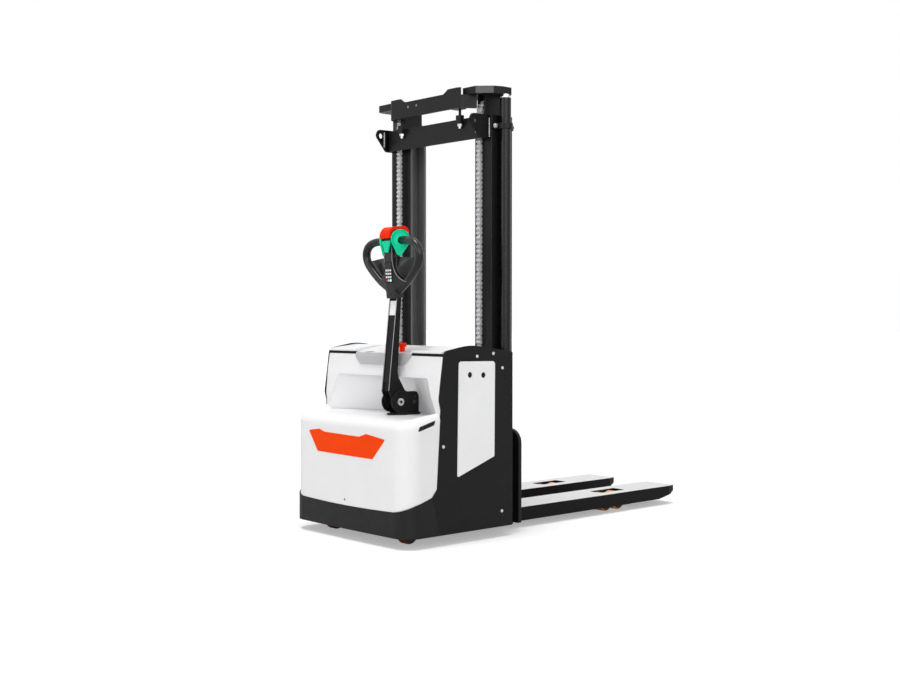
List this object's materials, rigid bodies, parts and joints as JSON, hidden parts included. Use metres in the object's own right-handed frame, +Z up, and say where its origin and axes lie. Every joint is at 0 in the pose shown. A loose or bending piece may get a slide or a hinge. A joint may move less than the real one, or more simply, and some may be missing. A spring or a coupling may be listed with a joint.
{
  "type": "pallet stacker",
  "caption": "Walk-behind electric stacker with forks over support legs, a mast raised by side cylinders, a covered drive body and a folding tiller with a looped control head.",
  "frame": {"origin": "centre of the bounding box at floor level", "axes": "+X to the operator's right, +Y towards the fork tips, +Z up"},
  "size_m": [0.782, 1.818, 1.885],
  "materials": {
    "mast_paint": "satin",
    "body_paint": "satin",
    "leg_paint": "satin",
    "fork_paint": "satin",
    "white_plate": "satin",
    "skirt_plastic": "matte",
    "white_plastic": "semi-gloss",
    "tray_plastic": "matte",
    "orange_plastic": "semi-gloss",
    "black_plastic": "matte",
    "head_plastic": "matte",
    "red_plastic": "gloss",
    "green_plastic": "semi-gloss",
    "steel": "satin",
    "chain_steel": "satin",
    "rod_chrome": "polished",
    "iron": "cast",
    "alloy": "cast",
    "load_tread": "satin",
    "drive_tread": "matte"
  },
  "bodies": {
    "chassis": {"base_frame": "leg_paint", "side_plates": "body_paint", "badge_plates": "white_plate", "skirt": "skirt_plastic", "hood": "white_plastic", "hood_vents": "black_plastic", "hood_panel": "orange_plastic", "upper_cover": "white_plastic", "dash_tray": "tray_plastic", "panel_screws": "steel", "outer_columns": "mast_paint", "outer_head_bar": "mast_paint", "lifting_lugs": "mast_paint", "stop_bolts": "steel", "cylinder_barrels": "mast_paint", "cylinder_clamps": "mast_paint", "support_legs": "leg_paint", "battery": "black_plastic", "pump_unit": "alloy", "controller": "alloy", "steering_chain": "chain_steel", "lid_hinges": "mast_paint", "lift_chain_front": "chain_steel"},
    "battery_lid": {"battery_lid": "white_plastic"},
    "emergency_stop": {"emergency_stop": "red_plastic"},
    "steering": {"tiller_base": "body_paint", "tiller_pin": "steel", "column_sprocket": "steel"},
    "drive_unit": {"drive_gearbox": "iron", "drive_motor": "iron", "drive_sprocket": "steel"},
    "drive_wheel": {"drive_wheel": "drive_tread"},
    "tiller": {"tiller_arm": "body_paint", "arm_cover": "head_plastic", "tiller_head": "head_plastic", "keypad": "head_plastic"},
    "throttle_wings": {"throttle_wings": "green_plastic"},
    "belly_button": {"belly_button": "red_plastic"},
    "horn_button": {"horn_button": "green_plastic"},
    "lift_rocker": {"lift_rocker": "black_plastic"},
    "caster_fork_left": {"caster_fork_left": "leg_paint"},
    "caster_fork_right": {"caster_fork_right": "leg_paint"},
    "caster_wheel_left": {"caster_wheel_left": "load_tread"},
    "caster_wheel_right": {"caster_wheel_right": "load_tread"},
    "inner_mast": {"inner_columns": "mast_paint", "inner_head_bar": "mast_paint", "cap_plates": "mast_paint", "lift_rods": "rod_chrome", "lift_chain_wrap": "chain_steel"},
    "chain_pulleys": {"chain_pulleys": "steel"},
    "inner_rollers": {"inner_rollers": "steel"},
    "carriage": {"carriage_frame": "mast_paint", "forks": "fork_paint", "lift_chain_rear": "chain_steel"},
    "carriage_rollers_upper": {"carriage_rollers_upper": "steel"},
    "carriage_rollers_lower": {"carriage_rollers_lower": "steel"},
    "load_wheel_left_mast": {"load_wheel_left_mast": "load_tread"},
    "load_wheel_left_tip": {"load_wheel_left_tip": "load_tread"},
    "load_wheel_right_mast": {"load_wheel_right_mast": "load_tread"},
    "load_wheel_right_tip": {"load_wheel_right_tip": "load_tread"}
  },
  "joints": [
    {"name": "mast_lift", "type": "slide", "parent": "chassis", "child": "inner_mast", "axis": [0, 0, 1], "range_m": [0, 1.25], "deforming": ["lift_chain_front"]},
    {"name": "carriage_lift", "type": "slide", "parent": "inner_mast", "child": "carriage", "axis": [0, 0, 1], "range_m": [0, 1.25], "deforming": ["lift_chain_rear"]},
    {"name": "pulley_turn", "type": "hinge", "parent": "inner_mast", "child": "chain_pulleys", "pos_m": [0, -0.3365, 1.7775], "axis": [1, 0, 0], "range_deg": [0, 1150]},
    {"name": "inner_roller_turn", "type": "hinge", "parent": "inner_mast", "child": "inner_rollers", "pos_m": [0, -0.3295, 0.12], "axis": [1, 0, 0], "range_deg": [0, 1490]},
    {"name": "upper_roller_turn", "type": "hinge", "parent": "carriage", "child": "carriage_rollers_upper", "pos_m": [0, -0.3295, 0.395], "axis": [1, 0, 0], "range_deg": [-2160, 0]},
    {"name": "lower_roller_turn", "type": "hinge", "parent": "carriage", "child": "carriage_rollers_lower", "pos_m": [0, -0.3295, 0.135], "axis": [1, 0, 0], "range_deg": [0, 2160]},
    {"name": "steer", "type": "hinge", "parent": "chassis", "child": "steering", "pos_m": [0.111, -0.753, 0.5], "axis": [0, 0, 1], "range_deg": [-90, 90]},
    {"name": "drive_steer", "type": "hinge", "parent": "chassis", "child": "drive_unit", "pos_m": [0, -0.721, 0.3], "axis": [0, 0, 1], "range_deg": [-90, 90]},
    {"name": "drive_wheel_spin", "type": "hinge", "parent": "drive_unit", "child": "drive_wheel", "pos_m": [0, -0.721, 0.115], "axis": [1, 0, 0], "continuous": true},
    {"name": "tiller_fold", "type": "hinge", "parent": "steering", "child": "tiller", "pos_m": [0.111, -0.734, 0.57], "axis": [1, 0, 0], "range_deg": [0, 75], "stiffness_Nm_per_rad": 20, "springref_deg": -20.05},
    {"name": "throttle", "type": "hinge", "parent": "tiller", "child": "throttle_wings", "pos_m": [0.111, -0.74182, 1.23629], "axis": [1, 0, 0], "range_deg": [-25, 25], "stiffness_Nm_per_rad": 0.8},
    {"name": "lift_switch", "type": "hinge", "parent": "tiller", "child": "lift_rocker", "pos_m": [0.111, -0.72413, 1.15175], "axis": [1, 0, 0], "range_deg": [-15, 15], "stiffness_Nm_per_rad": 0.4},
    {"name": "safety_press", "type": "slide", "parent": "tiller", "child": "belly_button", "axis": [0, 0.1132, -0.9936], "range_m": [0, 0.005], "stiffness_N_per_m": 500, "springref_m": -0.006},
    {"name": "horn_press", "type": "slide", "parent": "tiller", "child": "horn_button", "axis": [0, 0.9988, 0.049], "range_m": [0, 0.003], "stiffness_N_per_m": 300, "springref_m": -0.003},
    {"name": "stop_press", "type": "slide", "parent": "chassis", "child": "emergency_stop", "axis": [0, 0, 1], "range_m": [-0.008, 0]},
    {"name": "lid_open", "type": "hinge", "parent": "chassis", "child": "battery_lid", "pos_m": [0, -0.449, 0.779], "axis": [-1, 0, 0], "range_deg": [0, 75]},
    {"name": "caster_left_swivel", "type": "hinge", "parent": "chassis", "child": "caster_fork_left", "pos_m": [-0.245, -0.801, 0.12], "axis": [0, 0, 1], "continuous": true},
    {"name": "caster_left_spin", "type": "hinge", "parent": "caster_fork_left", "child": "caster_wheel_left", "pos_m": [-0.245, -0.779, 0.045], "axis": [1, 0, 0], "continuous": true},
    {"name": "load_left_mast_spin", "type": "hinge", "parent": "chassis", "child": "load_wheel_left_mast", "pos_m": [-0.192, 0.466, 0.042], "axis": [1, 0, 0], "continuous": true},
    {"name": "load_left_tip_spin", "type": "hinge", "parent": "chassis", "child": "load_wheel_left_tip", "pos_m": [-0.192, 0.554, 0.042], "axis": [1, 0, 0], "continuous": true},
    {"name": "caster_right_swivel", "type": "hinge", "parent": "chassis", "child": "caster_fork_right", "pos_m": [0.245, -0.801, 0.12], "axis": [0, 0, 1], "continuous": true},
    {"name": "caster_right_spin", "type": "hinge", "parent": "caster_fork_right", "child": "caster_wheel_right", "pos_m": [0.245, -0.779, 0.045], "axis": [1, 0, 0], "continuous": true},
    {"name": "load_right_mast_spin", "type": "hinge", "parent": "chassis", "child": "load_wheel_right_mast", "pos_m": [0.192, 0.466, 0.042], "axis": [1, 0, 0], "continuous": true},
    {"name": "load_right_tip_spin", "type": "hinge", "parent": "chassis", "child": "load_wheel_right_tip", "pos_m": [0.192, 0.554, 0.042], "axis": [1, 0, 0], "continuous": true}
  ],
  "couplings": [
    {"joint": "carriage_lift", "follows": "mast_lift", "ratio": 1},
    {"joint": "pulley_turn", "follows": "mast_lift", "rad_per_m": 16},
    {"joint": "inner_roller_turn", "follows": "mast_lift", "rad_per_m": 20.747},
    {"joint": "upper_roller_turn", "follows": "mast_lift", "rad_per_m": -30.12},
    {"joint": "lower_roller_turn", "follows": "mast_lift", "rad_per_m": 30.12},
    {"joint": "drive_steer", "follows": "steer", "ratio": 1}
  ]
}
